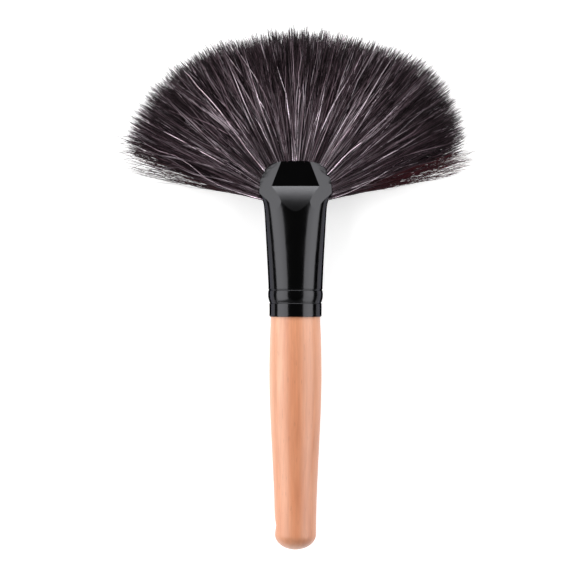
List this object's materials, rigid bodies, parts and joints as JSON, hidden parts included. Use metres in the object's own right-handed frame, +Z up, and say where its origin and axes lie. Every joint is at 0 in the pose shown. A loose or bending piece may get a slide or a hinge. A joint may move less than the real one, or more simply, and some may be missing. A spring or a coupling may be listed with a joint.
{
  "type": "fan makeup brush",
  "caption": "Large fan makeup brush: turned wooden handle, black pressed ferrule going from round to flat, and a wide fan of dark hair.",
  "frame": {"origin": "middle of the whole brush in plan, on the surface that it lies on", "axes": "+Y along the brush from the handle's butt to the hair tips, +X across the fan, +Z up through its thickness"},
  "size_m": [0.1057, 0.1618, 0.017],
  "materials": {
    "wood": "pale peach wood under a satin clear lacquer",
    "ferrule_black": "glossy black anodised",
    "glue": "set resin, hidden",
    "hair": "dark brown soft hair with lighter strands"
  },
  "bodies": {
    "root": {"handle": "wood", "ferrule": "ferrule_black", "glue_plug": "glue", "hair_fan": "hair"}
  },
  "joints": []
}
